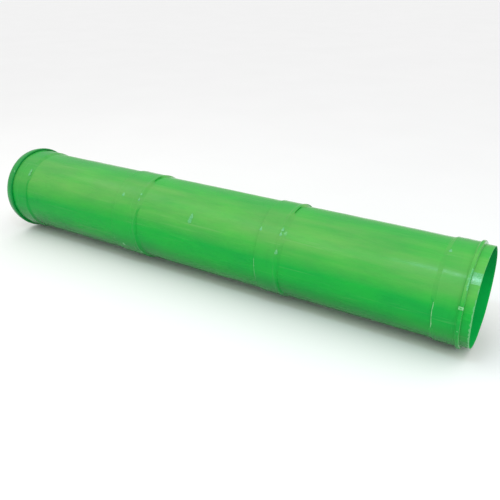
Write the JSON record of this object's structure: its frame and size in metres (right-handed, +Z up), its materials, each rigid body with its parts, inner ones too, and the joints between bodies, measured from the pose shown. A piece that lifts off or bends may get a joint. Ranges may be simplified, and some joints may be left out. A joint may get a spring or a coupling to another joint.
{
  "type": "straight tube slide",
  "caption": "Straight enclosed tube slide module with an entry socket, sleeved joints, and an exit spigot with a stop ring.",
  "frame": {"origin": "centre of the entry face, on the tube's axis", "axes": "+X along the tube, downhill from the entry socket to the exit spigot; +Z up as the module lies level"},
  "size_m": [4.702, 0.835, 0.835],
  "materials": {
    "tube_laminate": "gloss gelcoat, hand finished",
    "sleeve_laminate": "gloss gelcoat, brushed on",
    "seal_rubber": "matt",
    "insert_steel": "zinc plated",
    "coated_steel": "green powder coat"
  },
  "bodies": {
    "root": {"upper_tube": "tube_laminate", "middle_tube": "tube_laminate", "lower_tube": "tube_laminate", "entry_collar": "sleeve_laminate", "entry_rim": "sleeve_laminate", "entry_seal": "seal_rubber", "upper_joint_sleeve": "sleeve_laminate", "upper_joint_seal": "seal_rubber", "lower_joint_sleeve": "sleeve_laminate", "lower_joint_seal": "seal_rubber", "exit_collar": "sleeve_laminate", "stop_ring": "sleeve_laminate", "index_lug": "sleeve_laminate", "index_lug_screw": "coated_steel", "entry_inserts": "insert_steel", "entry_screws": "coated_steel", "upper_joint_inserts": "insert_steel", "upper_joint_screws": "coated_steel", "lower_joint_inserts": "insert_steel", "lower_joint_screws": "coated_steel", "exit_inserts": "insert_steel", "exit_screws": "coated_steel"}
  },
  "joints": []
}
